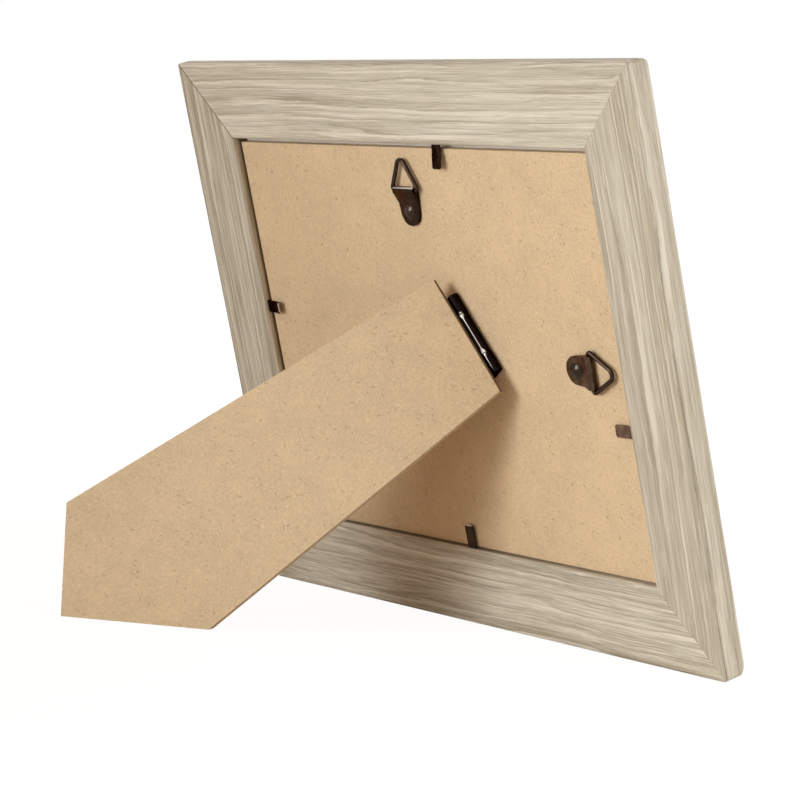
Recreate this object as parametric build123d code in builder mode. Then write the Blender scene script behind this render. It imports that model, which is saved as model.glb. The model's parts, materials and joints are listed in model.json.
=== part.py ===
"""Easel back photo frame, standing open on its leg.

Row frame: +Z up, the picture faces -Y and the leg reaches back to +Y. The origin is on the table,
below the middle of the whole object. Left and right are as seen from behind.

The pieces are laid out on the frame plane, which leans back with the frame: x to the right as seen
from behind, y up the frame, z out of its back. Its zero is the middle of the moulding's back face.
"""

import os
from math import cos, radians, sin, tan

from build123d import *

os.makedirs("parts", exist_ok=True)

# Moulding
opening_width = 181.0  # rabbet, wall to wall
opening_height = 131.0
rail_width = 25.4  # back face, rabbet wall to outer side
lip_reach = 5.0  # how far the front lip covers the glass
lip_depth = 4.7
sight_bevel = 1.5  # front edge of the lip
back_edge_round = 0.2
inner_edge_round = 0.9
front_edge_round = 9.0  # the outer side curves over to the front
corner_round = 1.6  # outer corners, seen from behind

# Stack in the rabbet, from the front lip back
glass_thickness = 2.0
insert_thickness = 0.3
board_thickness = 2.5
board_recess = 2.5  # moulding's back face down to the board's
glass_clearance = 0.5  # left, right and top
insert_clearance = 0.6
board_side_clearance = 0.7
board_top_clearance = 1.7
seat_gap = 0.3  # below the stack, at the lower rabbet wall

# Stance
lean = 13.8  # degrees back from upright, standing on the long side
portrait_lean = 18.9  # degrees, standing on the short side
leg_open_angle = 38.3  # degrees between board and leg

# Easel leg
hinge_right = 22.9  # middle of the hinge axis from the frame's middle
hinge_up = 6.5
leg_fold_angle = 35.6  # degrees below level, the way the folded leg points
leg_thickness = 2.5
leg_hinge_width = 41.2
leg_side_angle = 4.4  # degrees, each long side spreads this much
leg_setback = 1.2  # leg's end from the hinge axis

# Leg hinge
hinge_length = 28.0
middle_knuckle_length = 14.2
knuckle_gap = 0.2
knuckle_radius = 1.9
knuckle_relief = 0.15  # the leg's knuckle is this much smaller, to turn clear of the board
leaf_thickness = 0.8
leaf_length = 16.0  # from the axis to the leaf's far edge
leaf_relief = 0.4  # leaf's edge to the other leaf's knuckle
leaf_corner_radius = 1.5
pin_clearance = 0.05
prong_width = 3.0
prong_depth = 1.7
prong_spacing_along = 18.0
prong_spacing_across = 6.0
prong_row_reach = 8.5  # middle of the prongs from the axis
prong_fit = 0.05

# Bend tabs
tab_width = 4.0
tab_length = 7.2
tab_thickness = 0.5
tab_height = 1.0  # middle of the strip above the board, at the rabbet wall
tab_bury = 6.0  # driven into the rail
tab_fit = 0.02
tab_bend_gap = 0.2  # fixed end to the bending part
tab_tip_radius = 0.8
top_tab_right = 19.1
bottom_tab_right = 1.0
left_tab_up = 8.0
right_tab_up = -18.5
top_tab_lift = 10.0  # degrees up from the board
bottom_tab_lift = 1.0
left_tab_lift = 9.0
right_tab_lift = 3.0

# Hangers
strap_end_width = 9.0
strap_loop_width = 10.2
strap_thickness = 0.6  # one layer of the folded strip
strap_reach = 6.9  # rivet to the ring's bar
strap_pinch = 3.8  # ring's bar to where the two layers close
ring_wire_diameter = 1.4
ring_bar_clearance = 0.08
ring_side_gap = 0.1  # strap's edge to where the ring's bar starts to bend
ring_side_angle = 60.0  # degrees between the bar and each side
ring_corner_radius = 0.9  # on the wire's middle line
ring_tip_radius = 2.1
rivet_head_diameter = 5.0
rivet_head_height = 1.0
rivet_shank_diameter = 2.4
rivet_tail_diameter = 4.0
rivet_tail_thickness = 0.6
rivet_fit = 0.04
hanger_inset = 21.8  # rivet from the nearest rabbet wall
top_hanger_right = -0.3
side_hanger_up = -1.6

# Worked out from the sizes above
frame_width = opening_width + 2 * rail_width
frame_height = opening_height + 2 * rail_width
rail_depth = board_recess + board_thickness + insert_thickness + glass_thickness + lip_depth
board_face = -board_recess
board_inner_face = board_face - board_thickness
insert_face = board_inner_face - insert_thickness
glass_face = insert_face - glass_thickness
stack_bottom = -opening_height / 2 + seat_gap
axis_height = knuckle_radius
leg_knuckle_radius = knuckle_radius - knuckle_relief
bore_radius = knuckle_radius - leaf_thickness
pin_radius = bore_radius - pin_clearance
strap_loop_inner = ring_wire_diameter / 2 + ring_bar_clearance
strap_loop_outer = strap_loop_inner + strap_thickness
strap_length = strap_reach + strap_end_width / 2
ring_bend_run = ring_corner_radius / tan(radians(ring_side_angle / 2))
ring_half = strap_loop_width / 2 + ring_side_gap + ring_bend_run
ring_apex = ring_half * tan(radians(ring_side_angle))
lean_rad = radians(lean)
portrait_rad = radians(portrait_lean)
fold_rad = radians(leg_fold_angle)

# Directions of the leaning frame
right = Vector(-1, 0, 0)
up_frame = Vector(0, sin(lean_rad), cos(lean_rad))
out = Vector(0, cos(lean_rad), -sin(lean_rad))
hinge_direction = right * -sin(fold_rad) + up_frame * cos(fold_rad)
leg_normal = out.rotate(Axis((0, 0, 0), hinge_direction), leg_open_angle)


def frame_plane_at(centre):
    """Plane of the moulding's back face, with its middle at `centre`."""
    return Plane(centre, x_dir=right, z_dir=out)


def leg_plane_at(frame):
    """Plane through the hinge axis, x along the axis and y down the open leg."""
    axis_middle = frame.from_local_coords((hinge_right, hinge_up, board_face + axis_height))
    return Plane(axis_middle, x_dir=hinge_direction, z_dir=leg_normal)


def portrait_ground_at(frame):
    """The table's plane when the frame stands on its left side instead."""
    rounded_left = -frame_width / 2 + back_edge_round * (1 - cos(portrait_rad))
    rounded_back = -back_edge_round * (1 - sin(portrait_rad))
    edge = frame.from_local_coords((rounded_left, 0, rounded_back))
    upward = right * cos(portrait_rad) - out * sin(portrait_rad)
    return Plane(edge, x_dir=up_frame, z_dir=upward)


# The rounded back edge of the bottom rail touches the table, and the whole depth is centred.
# The tip of the foot is where the leg's outer face meets the table in both ways of standing.
centre_height = (
    back_edge_round
    + (frame_height / 2 - back_edge_round) * cos(lean_rad)
    - back_edge_round * sin(lean_rad)
)
front_depth = (
    (frame_height / 2 - front_edge_round) * sin(lean_rad)
    + (rail_depth - front_edge_round) * cos(lean_rad)
    + front_edge_round
)
trial_plane = frame_plane_at((0, 0, centre_height))
trial_face = leg_plane_at(trial_plane).offset(leg_knuckle_radius + leg_thickness)
foot_line = trial_face.intersect(Plane.XY)
foot_tip = foot_line.intersect(portrait_ground_at(trial_plane))
frame_centre_y = (front_depth - foot_tip.Y) / 2

frame_plane = frame_plane_at((0, frame_centre_y, centre_height))
leg_plane = leg_plane_at(frame_plane)
folded_plane = Plane(leg_plane.origin, x_dir=hinge_direction, z_dir=out)
portrait_ground = portrait_ground_at(frame_plane)


def frame_point(x, y, z):
    """Point given on the frame plane, in the row frame."""
    return frame_plane.from_local_coords((x, y, z))


def frame_direction(x, y):
    """Direction given on the frame plane, in the row frame."""
    return right * x + up_frame * y


def write(piece, name):
    """Label a finished piece and write its file."""
    piece.part.label = name
    export_step(piece.part, f"parts/{name}.step")


# The four sides: the way out from the middle, the wall's distance and the wall's length
sides = {
    "top": ((0, 1), opening_height / 2, opening_width),
    "bottom": ((0, -1), opening_height / 2, opening_width),
    "left": ((-1, 0), opening_width / 2, opening_height),
    "right": ((1, 0), opening_width / 2, opening_height),
}

# Each side's bend tab: its place along the wall and how far its tip is lifted
tabs = {
    "top": (top_tab_right, top_tab_lift),
    "bottom": (bottom_tab_right, bottom_tab_lift),
    "left": (left_tab_up, left_tab_lift),
    "right": (right_tab_up, right_tab_lift),
}


def tab_plane(side):
    """Plane of a bend tab's strip at the rabbet wall, x towards the middle of the frame."""
    (across, upward), wall, _ = sides[side]
    along = tabs[side][0]
    origin = frame_point(
        across * wall + abs(upward) * along,
        upward * wall + abs(across) * along,
        board_face + tab_height,
    )
    return Plane(origin, x_dir=frame_direction(-across, -upward), z_dir=out)


# Moulding rails, mitred at both ends, each with a slot for its bend tab
for side, ((across, upward), wall, wall_length) in sides.items():
    outward = frame_direction(across, upward)
    along = outward.cross(out)
    wall_middle = frame_point(across * wall, upward * wall, 0)
    with BuildPart() as rail:
        with BuildSketch(Plane(wall_middle, x_dir=outward, z_dir=along)) as section:
            with BuildLine():
                Polyline(
                    (0, 0),
                    (rail_width, 0),
                    (rail_width, -rail_depth),
                    (-lip_reach, -rail_depth),
                    (-lip_reach, glass_face),
                    (0, glass_face),
                    close=True,
                )
            make_face()
            fillet(section.vertices().sort_by_distance((rail_width, 0))[0], back_edge_round)
            fillet(section.vertices().sort_by_distance((rail_width, -rail_depth))[0], front_edge_round)
            fillet(section.vertices().sort_by_distance((0, 0))[0], inner_edge_round)
            chamfer(section.vertices().sort_by_distance((-lip_reach, -rail_depth))[0], sight_bevel)
        extrude(amount=wall_length / 2 + rail_width, both=True)
        for end in (-1, 1):
            mitre_origin = wall_middle + along * (end * wall_length / 2)
            split(bisect_by=Plane(mitre_origin, z_dir=outward - along * end), keep=Keep.TOP)
        with BuildSketch(frame_plane):
            RectangleRounded(frame_width, frame_height, corner_round)
        extrude(amount=-rail_depth, mode=Mode.INTERSECT)
        with BuildSketch(tab_plane(side).offset(-tab_thickness / 2 - tab_fit)):
            with Locations((-(tab_bury + tab_fit) / 2, 0)):
                Rectangle(tab_bury + tab_fit, tab_width + 2 * tab_fit)
        extrude(amount=tab_thickness + 2 * tab_fit, mode=Mode.SUBTRACT)
    write(rail, f"rail_{side}")

# Glass against the front lip
glass_width = opening_width - 2 * glass_clearance
glass_height = opening_height - seat_gap - glass_clearance
with BuildPart() as glass:
    with BuildSketch(frame_plane.offset(glass_face)):
        with Locations((0, stack_bottom + glass_height / 2)):
            Rectangle(glass_width, glass_height)
    extrude(amount=glass_thickness)
write(glass, "glass")

# Blank paper insert
insert_width = opening_width - 2 * insert_clearance
insert_height = opening_height - seat_gap - insert_clearance
with BuildPart() as photo_insert:
    with BuildSketch(frame_plane.offset(insert_face)):
        with Locations((0, stack_bottom + insert_height / 2)):
            Rectangle(insert_width, insert_height)
    extrude(amount=insert_thickness)
write(photo_insert, "photo_insert")

# Hanger planes: origin at the rivet on the board's face, y towards the ring
hanger_planes = {
    "top": Plane(
        frame_point(top_hanger_right, opening_height / 2 - hanger_inset, board_face),
        x_dir=right,
        z_dir=out,
    ),
    "side": Plane(
        frame_point(opening_width / 2 - hanger_inset, side_hanger_up, board_face),
        x_dir=-up_frame,
        z_dir=out,
    ),
}

# Prong places on a leaf: x along the hinge axis, y from the axis down the leg
prong_spots = [
    (x * prong_spacing_along / 2, prong_row_reach + y * prong_spacing_across / 2)
    for x in (-1, 1)
    for y in (-1, 1)
]

# Backboard, with the rivet holes and the slots for the hinge's prongs
board_width = opening_width - 2 * board_side_clearance
board_height = opening_height - seat_gap - board_top_clearance
with BuildPart() as backboard:
    with BuildSketch(frame_plane.offset(board_inner_face)):
        with Locations((0, stack_bottom + board_height / 2)):
            Rectangle(board_width, board_height)
    extrude(amount=board_thickness)
    for hanger_plane in hanger_planes.values():
        with BuildSketch(hanger_plane):
            Circle(rivet_shank_diameter / 2 + rivet_fit)
        extrude(amount=-board_thickness, mode=Mode.SUBTRACT)
        with BuildSketch(hanger_plane.offset(-board_thickness)):
            Circle(rivet_tail_diameter / 2 + rivet_fit)
        extrude(amount=rivet_tail_thickness + rivet_fit, mode=Mode.SUBTRACT)
    with BuildSketch(folded_plane.offset(-axis_height)):
        with Locations(prong_spots):
            Rectangle(prong_width + 2 * prong_fit, leaf_thickness + 2 * prong_fit)
    extrude(amount=-prong_depth - prong_fit, mode=Mode.SUBTRACT)
write(backboard, "backboard")

# Bend tabs: the end driven into the rail, and the exposed end that bends at the wall
for side, (_, lift) in tabs.items():
    strip_plane = tab_plane(side)
    with BuildPart() as tab_root:
        with BuildSketch(strip_plane.offset(-tab_thickness / 2)):
            with Locations((-tab_bury / 2, 0)):
                Rectangle(tab_bury, tab_width)
        extrude(amount=tab_thickness)
    write(tab_root, f"tab_root_{side}")

    bend_middle = strip_plane.from_local_coords((tab_bend_gap + tab_thickness / 2, 0, 0))
    lift_rad = radians(lift)
    tab_direction = strip_plane.x_dir * cos(lift_rad) + out * sin(lift_rad)
    with BuildPart() as bend_tab:
        with BuildSketch(Plane(bend_middle, x_dir=tab_direction, z_dir=-strip_plane.y_dir)):
            Circle(tab_thickness / 2)
            with Locations((tab_length / 2, 0)):
                Rectangle(tab_length, tab_thickness)
        extrude(amount=tab_width / 2, both=True)
        tip_face = bend_tab.faces().sort_by(Axis(bend_middle, tab_direction))[-1]
        tip_corners = tip_face.edges().filter_by(lambda edge: edge.length < tab_width / 2)
        fillet(tip_corners, tab_tip_radius)
    write(bend_tab, f"bend_tab_{side}")

# Hangers: folded strap, triangular ring and rivet
for place, hanger_plane in hanger_planes.items():
    bar_plane = Plane(
        hanger_plane.from_local_coords((0, strap_reach, strap_loop_outer)),
        x_dir=hanger_plane.x_dir,
        z_dir=out,
    )
    with BuildPart() as strap:
        with BuildSketch(Plane(bar_plane.origin, x_dir=hanger_plane.y_dir, z_dir=hanger_plane.x_dir)):
            Circle(strap_loop_outer)
            with Locations((-strap_pinch, strap_thickness - strap_loop_outer)):
                Rectangle(strap_thickness, 2 * strap_thickness)
            make_hull()
            with Locations((-strap_length / 2, strap_thickness - strap_loop_outer)):
                Rectangle(strap_length, 2 * strap_thickness)
            Circle(strap_loop_inner, mode=Mode.SUBTRACT)
        extrude(amount=strap_loop_width / 2, both=True)
        with BuildSketch(hanger_plane):
            Circle(strap_end_width / 2)
            with Locations((0, strap_reach)):
                Rectangle(strap_loop_width, 2 * strap_loop_outer)
            make_hull()
        extrude(amount=2 * strap_loop_outer, mode=Mode.INTERSECT)
        with BuildSketch(hanger_plane):
            Circle(rivet_shank_diameter / 2 + rivet_fit)
        extrude(amount=2 * strap_loop_outer, mode=Mode.SUBTRACT)
    write(strap, f"hanger_strap_{place}")

    with BuildSketch(bar_plane) as ring_outline:
        Polygon((-ring_half, 0), (ring_half, 0), (0, ring_apex), align=None)
        fillet(ring_outline.vertices().sort_by_distance((0, ring_apex))[0], ring_tip_radius)
        fillet(ring_outline.vertices().sort_by_distance((-ring_half, 0))[0], ring_corner_radius)
        fillet(ring_outline.vertices().sort_by_distance((ring_half, 0))[0], ring_corner_radius)
    ring_path = ring_outline.sketch.face().outer_wire()
    with BuildPart() as ring:
        with BuildSketch(Plane(ring_path @ 0, z_dir=ring_path % 0)):
            Circle(ring_wire_diameter / 2)
        sweep(path=ring_path)
    write(ring, f"hanger_ring_{place}")

    strap_top = 2 * strap_thickness
    head_top = strap_top + rivet_head_height
    head_radius = rivet_head_diameter / 2
    shank_radius = rivet_shank_diameter / 2
    tail_radius = rivet_tail_diameter / 2
    with BuildPart() as rivet:
        with BuildSketch(Plane(hanger_plane.origin, x_dir=hanger_plane.x_dir, z_dir=-hanger_plane.y_dir)):
            with BuildLine():
                head_arc = RadiusArc(
                    (head_radius, strap_top),
                    (0, head_top),
                    -(head_radius**2 + rivet_head_height**2) / (2 * rivet_head_height),
                )
                Polyline(
                    head_arc @ 1,
                    (0, -board_thickness),
                    (tail_radius, -board_thickness),
                    (tail_radius, -board_thickness + rivet_tail_thickness),
                    (shank_radius, -board_thickness + rivet_tail_thickness),
                    (shank_radius, strap_top),
                    head_arc @ 0,
                )
            make_face()
        revolve(axis=Axis(hanger_plane.origin, out))
    write(rivet, f"hanger_rivet_{place}")

# Easel leg, cut off by the table in both ways of standing
leg_face = leg_plane.offset(leg_knuckle_radius)
leg_blank_length = frame_width
leg_blank_spread = (leg_blank_length - leg_setback) * tan(radians(leg_side_angle))
with BuildPart() as easel_leg:
    with BuildSketch(leg_face):
        with BuildLine():
            Polyline(
                (-leg_hinge_width / 2, leg_setback),
                (leg_hinge_width / 2, leg_setback),
                (leg_hinge_width / 2 + leg_blank_spread, leg_blank_length),
                (-leg_hinge_width / 2 - leg_blank_spread, leg_blank_length),
                close=True,
            )
        make_face()
    extrude(amount=leg_thickness)
    split(bisect_by=Plane.XY, keep=Keep.TOP)
    split(bisect_by=portrait_ground, keep=Keep.TOP)
    with BuildSketch(leg_face):
        with Locations(prong_spots):
            Rectangle(prong_width + 2 * prong_fit, leaf_thickness + 2 * prong_fit)
    extrude(amount=prong_depth + prong_fit, mode=Mode.SUBTRACT)
write(easel_leg, "easel_leg")

# Knuckle spans along the hinge axis: their middle and length
outer_knuckle_length = (hinge_length - middle_knuckle_length) / 2 - knuckle_gap
outer_knuckle_middle = (hinge_length - outer_knuckle_length) / 2
board_knuckles = [
    (-outer_knuckle_middle, outer_knuckle_length),
    (outer_knuckle_middle, outer_knuckle_length),
]
leg_knuckles = [(0, middle_knuckle_length)]


def build_leaf(plane, facing, outer_radius, knuckles):
    """Hinge leaf with its rolled knuckles and its prongs; `facing` is the way to what it grips."""
    gripped_face = plane.offset(facing * outer_radius)
    plate_start = knuckle_radius + leaf_relief
    plate_length = leaf_length - plate_start
    with BuildPart() as leaf:
        with BuildSketch(gripped_face):
            with Locations((0, plate_start + plate_length / 2)):
                RectangleRounded(hinge_length, plate_length, leaf_corner_radius)
        extrude(amount=-facing * leaf_thickness)
        for middle, length in knuckles:
            knuckle_middle = plane.from_local_coords((middle, 0, 0))
            across = Plane(knuckle_middle, x_dir=plane.y_dir, z_dir=plane.x_dir)
            with BuildSketch(across):
                Circle(outer_radius)
                neck_length = plate_start + leaf_corner_radius
                with Locations((neck_length / 2, facing * (outer_radius - leaf_thickness / 2))):
                    Rectangle(neck_length, leaf_thickness)
            extrude(amount=length / 2, both=True)
        for middle, length in knuckles:
            bore_middle = plane.from_local_coords((middle, 0, 0))
            with BuildSketch(Plane(bore_middle, x_dir=plane.y_dir, z_dir=plane.x_dir)):
                Circle(bore_radius)
            extrude(amount=length / 2, both=True, mode=Mode.SUBTRACT)
        with BuildSketch(gripped_face):
            with Locations(prong_spots):
                Rectangle(prong_width, leaf_thickness)
        extrude(amount=facing * prong_depth)
    return leaf


hinge_leaf_board = build_leaf(folded_plane, -1, knuckle_radius, board_knuckles)
write(hinge_leaf_board, "hinge_leaf_board")
hinge_leaf_leg = build_leaf(leg_plane, 1, leg_knuckle_radius, leg_knuckles)
write(hinge_leaf_leg, "hinge_leaf_leg")

# Hinge pin
with BuildPart() as hinge_pin:
    with BuildSketch(Plane(folded_plane.origin, x_dir=folded_plane.y_dir, z_dir=hinge_direction)):
        Circle(pin_radius)
    extrude(amount=hinge_length / 2, both=True)
write(hinge_pin, "hinge_pin")
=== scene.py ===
"""Looks of an easel back photo frame: moulding wrap, fibreboard, bronze hardware, hinge and stage.

Laid out as an add-on. Sizes are in metres and in the same frame as the CAD part: +Z up, the picture
faces -Y and the leg reaches back to +Y. Left and right are as seen from behind, so left is +X.
"""

import json
from math import cos, radians, sin

import bpy
from bpy.props import FloatProperty, FloatVectorProperty, IntProperty, PointerProperty
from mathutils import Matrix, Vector


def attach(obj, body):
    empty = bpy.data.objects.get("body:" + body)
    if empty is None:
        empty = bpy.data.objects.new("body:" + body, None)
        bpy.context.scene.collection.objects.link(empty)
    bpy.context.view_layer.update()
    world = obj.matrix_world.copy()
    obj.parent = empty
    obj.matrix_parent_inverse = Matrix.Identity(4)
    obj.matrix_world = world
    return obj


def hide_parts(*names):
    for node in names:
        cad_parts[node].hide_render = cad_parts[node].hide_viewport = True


bl_info = {
    "name": "Easel Back Photo Frame",
    "version": (1, 0, 0),
    "blender": (4, 5, 0),
    "location": "View3D > Sidebar > Photo Frame",
    "description": "Finishes and stage for an easel back photo frame",
    "category": "Object",
}

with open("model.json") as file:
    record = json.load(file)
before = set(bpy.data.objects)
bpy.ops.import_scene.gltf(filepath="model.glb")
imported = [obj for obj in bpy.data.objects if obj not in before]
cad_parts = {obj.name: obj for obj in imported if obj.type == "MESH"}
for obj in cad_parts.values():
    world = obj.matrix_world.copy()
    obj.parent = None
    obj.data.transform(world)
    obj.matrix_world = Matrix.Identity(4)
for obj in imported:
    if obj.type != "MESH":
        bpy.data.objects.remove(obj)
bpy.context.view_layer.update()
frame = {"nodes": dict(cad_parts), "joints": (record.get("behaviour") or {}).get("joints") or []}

# Sizes of the CAD part that the finishes follow
LEAN = radians(13.8)
BACK_MIDDLE = Vector((0.0, -0.0270073, 0.0882342))
OPENING_HALF = (0.0905, 0.0655)
RAIL_WIDTH = 0.0254
RABBET_DEPTH = 0.0073
KNUCKLE_HALF = 0.0071

# Directions on the leaning frame
UP_FRAME = Vector((0.0, sin(LEAN), cos(LEAN)))
OUT = Vector((0.0, cos(LEAN), -sin(LEAN)))
SIDEWAYS = Vector((1.0, 0.0, 0.0))
INWARD = {"top": -UP_FRAME, "bottom": UP_FRAME, "left": -SIDEWAYS, "right": SIDEWAYS}

# Sets of like pieces
RAILS = ("top", "bottom", "left", "right")
LEVEL_RAILS = ("top", "bottom")
HANGERS = ("top", "side")
# Tabs whose free ends carry a painted highlight
HIGHLIGHTED_TABS = ("bottom", "left")

# Seeds of the noise in each finish
RAIL_SEEDS = {"top": 1.7, "bottom": 4.0, "left": 6.3, "right": 8.6}
SEEDS = {
    "backboard": 3.3, "leg": 9.6, "bronze": 4.2, "rivet": 5.4, "hinge": 8.1,
    "tooth": 2.0, "cast": 6.0, "smear": 3.0, "floor": 1.0,
}

# Layers of noise: scale of all axes or of each, detail, roughness and distortion
NOISE = {
    # Printed grain, drawn out along its first axis
    "sway": ((11.0, 50.0, 50.0), 2.0, 0.5, 0.0),
    "jitter": ((170.0, 420.0, 420.0), 2.0, 0.5, 0.0),
    "broad": ((4.0, 140.0, 140.0), 3.0, 0.55, 0.0),
    "streak": ((10.0, 600.0, 600.0), 5.0, 0.62, 0.1),
    "fine": ((48.0, 3400.0, 3400.0), 2.0, 0.6, 0.0),
    "breaks": ((26.0, 520.0, 520.0), 2.0, 0.5, 0.0),
    "dashes": ((100.0, 3000.0, 3000.0), 2.0, 0.5, 0.0),
    # Raw fibreboard
    "mottle": (120.0, 4.0, 0.6, 0.0),
    "grit": (1700.0, 3.0, 0.65, 0.0),
    "bend": (600.0, 2.0, 0.5, 0.0),
    "patch": (38.0, 2.0, 0.5, 0.0),
    # Stamped metal
    "cloud": (420.0, 4.0, 0.6, 0.0),
    "scratch": ((300.0, 5200.0, 5200.0), 2.0, 0.5, 0.0),
    "peel": (2600.0, 2.0, 0.5, 0.0),
    # Paper, glass and floor
    "tooth": (1400.0, 3.0, 0.6, 0.0),
    "cast": (30.0, 2.0, 0.5, 0.0),
    "smear": ((26.0, 26.0, 40.0), 3.0, 0.55, 0.0),
    "floor": (3.0, 2.0, 0.5, 0.0),
}

# Printed grain: how far it sways and jitters aside
SIDE_REACH = (0.0034, 0.00035)
# Growth lines in a metre, how many lines the broad bands and streaks shift them by, and the first line
LINE_WEIGHTS = (250.0, 3.2, 0.4)
FIRST_LINE = 20.0
# Ranges over which crests, dips, pores and glints of the grain come and go; the dip after each crest
# carries painted shade, as if the embossed relief were lit from one side
LINE_BREAKS = (0.40, 0.62)
GROOVE_SHADE_BREAKS = (0.0, 0.55)
CREST_RISE = (0.74, 0.90)
CREST_FALL = (1.0, 0.93)
DIP_RISE = (0.0, 0.03)
DIP_FALL = (0.20, 0.04)
PORE_DASHES = (0.57, 0.70)
PORE_STREAKS = (0.58, 0.42)
GLINT_DASHES = (0.43, 0.31)
GLINT_STREAKS = (0.42, 0.56)
# Weights of broad bands, streaks, fine fibres and growth lines in the tone, and where the tone starts
TONE_WEIGHTS = (0.25, 0.43, 0.44, 0.07)
TONE_START = -0.095
# Weights of streaks, lines and pores in the relief
RELIEF_WEIGHTS = (0.5, 0.35, -0.5)

# Printed wrap on each rail: added tone, contrast about the middle tone and pitch of the grain. The added
# tone is partly the print's own and partly painted shade, which darkens the left rail
RAIL_TONE_AND_SHADE = {"top": 0.03, "bottom": -0.005, "left": -0.025, "right": -0.04}
RAIL_CONTRAST = {"top": 0.9, "bottom": 1.2, "left": 1.08, "right": 0.75}
GRAIN_PITCH = {"top": 1.05, "bottom": 0.85, "left": 0.9, "right": 0.68}
# Tones at which the print is darkest, in its middle colour and palest
SHADE_TONE = 0.38
BODY_TONE = 0.51
CREAM_TONE = 0.64
# How strongly lines, painted shade after the crests, and pores show
LINE_SHARE = 0.6
GROOVE_SHADE_SHARE = 0.58
PORE_SHARE = 0.55
# Mitres: the share of a seam's width that is wholly dark, and how much a closed mitre shows
SEAM_CORE = 0.4
CLOSED_MITRE = 0.14
# Crease near the outer side, where a dark line is painted along the rounded back edge; on the top rail it
# is painted shade standing in for the shaded top side. How far in it lies, its depths, its strength, and
# how the grain wavers it
CREASE_PLACE = 0.0003
CREASE_DEPTHS = (-0.0012, -0.0004)
CREASE_SHARE = {"top": 0.35, "bottom": 0.4, "left": 0.6, "right": 0.6}
CREASE_WAVER = (0.42, 0.58, 1.0, 0.35)
# Raw core: distances off the rabbet wall, where it starts below the back, its strength, and its blend. On
# the bottom rail it starts higher, where it is also painted shade in the gap under the backboard
RAW_BAND = (0.0004, 0.0001)
RAW_START = {"top": -0.0014, "bottom": -0.0005, "left": -0.0014, "right": -0.0014}
RAW_SHARE = {"top": 0.3, "bottom": 1.0, "left": 1.0, "right": 1.0}
RAW_BLEND = 0.001
# Painted shadow: on a level rail the raw core is darkest on the left, as under the leg's shadow on the
# bottom rail, and fades towards the right
RAW_SHADOW_FADE = (-0.085, 0.02, 0.15, 1.0)
# Surface of the wrap
WRAP_TONES = (0.38, 0.62)
WRAP_SWING = 0.08
WRAP_SPECULAR = 0.35
WRAP_BUMP = (0.25, 0.00012)

# Fibreboard: how far fibres bend, and layers of flecks as turn, scale along and scale across
FIBRE_BEND = 0.003
FLECK_LAYERS = ((0.3, 460.0, 1500.0), (1.4, 540.0, 1750.0), (2.45, 400.0, 1600.0), (0.9, 800.0, 1300.0))
FLECK_DEPTH = 520.0
FLECK_EDGE = (0.46, 0.20)
FLECK_CHANCE = (0.95, 0.99)
# Weights of patches, mottle and grit in the tone, and where the tone starts
MOTTLE_WEIGHTS = (0.2, 0.4, 1.0)
MOTTLE_START = -0.3
# Tones and the share of the sheet's colour at each
FIBRE_SHADES = ((0.36, 0.89), (0.5, 1.0), (0.64, 1.10))
# How strongly dark flecks, pale flecks and sawn edges show, and how far the darker edge bands keep from a
# face
DARK_SHARE = 0.48
PALE_SHARE = 0.4
SAWN_SHARE = 0.8
EDGE_MARGIN = 0.00008
# Surface of the fibreboard
FIBRE_ROUGHNESS = (0.35, 0.65, 0.72, 0.86)
FIBRE_SPECULAR = 0.2
FIBRE_BUMP = (0.2, 0.00006)

# Metal: scratches, and how clouds turn to wear
SCRATCH_TURN = 0.6
SCRATCH_EDGE = (0.62, 0.74)
SCRATCH_SHARE = 0.4
WEAR_CLOUDS = (0.45, 0.68)
# Clouds over which roughness goes from less to more than usual
ROUGH_CLOUDS = (0.35, 0.65)
LESS_ROUGH = 0.06
MORE_ROUGH = 0.08
# Relief of metal: strength for its roughness, and height
METAL_BUMP_SHARE = 0.45
METAL_BUMP_HEIGHT = 0.00003
BRONZE_ROUGHNESS = 0.26
RING_ROUGHNESS = 0.15
COAT_ROUGHNESS = 0.14
# How much paler rivets and hinge are where they are rubbed
RIVET_RUB = 1.3
HINGE_RUB = 1.6
# Painted light and shade: each bronze piece is made paler or darker than the bronze colour for how it
# catches the light
STRAP_LIGHT_AND_SHADE = {"top": 0.75, "side": 2.0}
TAB_LIGHT_AND_SHADE = {"top": 0.4, "bottom": 0.7, "left": 0.5, "right": 3.2}
# Painted highlights: heights on the strap's fold above its ring's bar, and distances from a tab's tip
FOLD_HIGHLIGHT = (0.00072, 0.00092)
TIP_HIGHLIGHT = (0.00020, 0.00014)
# Painted highlight on the barrel: half widths by distance from where knuckles meet, place aside, edge and
# ends
BARREL_WIDTHS = (0.0003, 0.0020, 0.00056, 0.00013)
BARREL_ASIDE = 0.0011
BARREL_EDGE = (1.0, 0.5)
BARREL_TOP = (KNUCKLE_HALF + 0.0009, KNUCKLE_HALF + 0.0004)
BARREL_FOOT = (-0.0132, -0.0122)
BARREL_LOWER = (-KNUCKLE_HALF - 0.0012, -KNUCKLE_HALF, 0.4, 1.0)

# Paper and glass
TOOTH_SHARE = 0.4
CAST_SHARE = 0.6
PAPER_SHADES = ((0.35, 0.97), (0.65, 1.03))
PAPER_ROUGHNESS = (0.3, 0.7, 0.62, 0.74)
PAPER_BUMP = (0.1, 0.00003)
GLASS_ROUGHNESS = (0.40, 0.72, 0.005, 0.05)
GLASS_IOR = 1.5

# Colour sockets of a Mix node, which share their names with its other sockets
MIX_A = 6
MIX_B = 7
MIX_RESULT = 2

# Copies of CAD pieces: what merges, what counts as flat and which edges are eased
MERGE_DISTANCE = 1e-6
FLAT_ANGLE = radians(0.5)
SHARP_ANGLE = radians(38.0)
LEG_SEGMENTS = 2
PAPER_SEGMENTS = 1
PAPER_EDGE = 0.00004
PAPER_INSET = 0.00005

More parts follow.
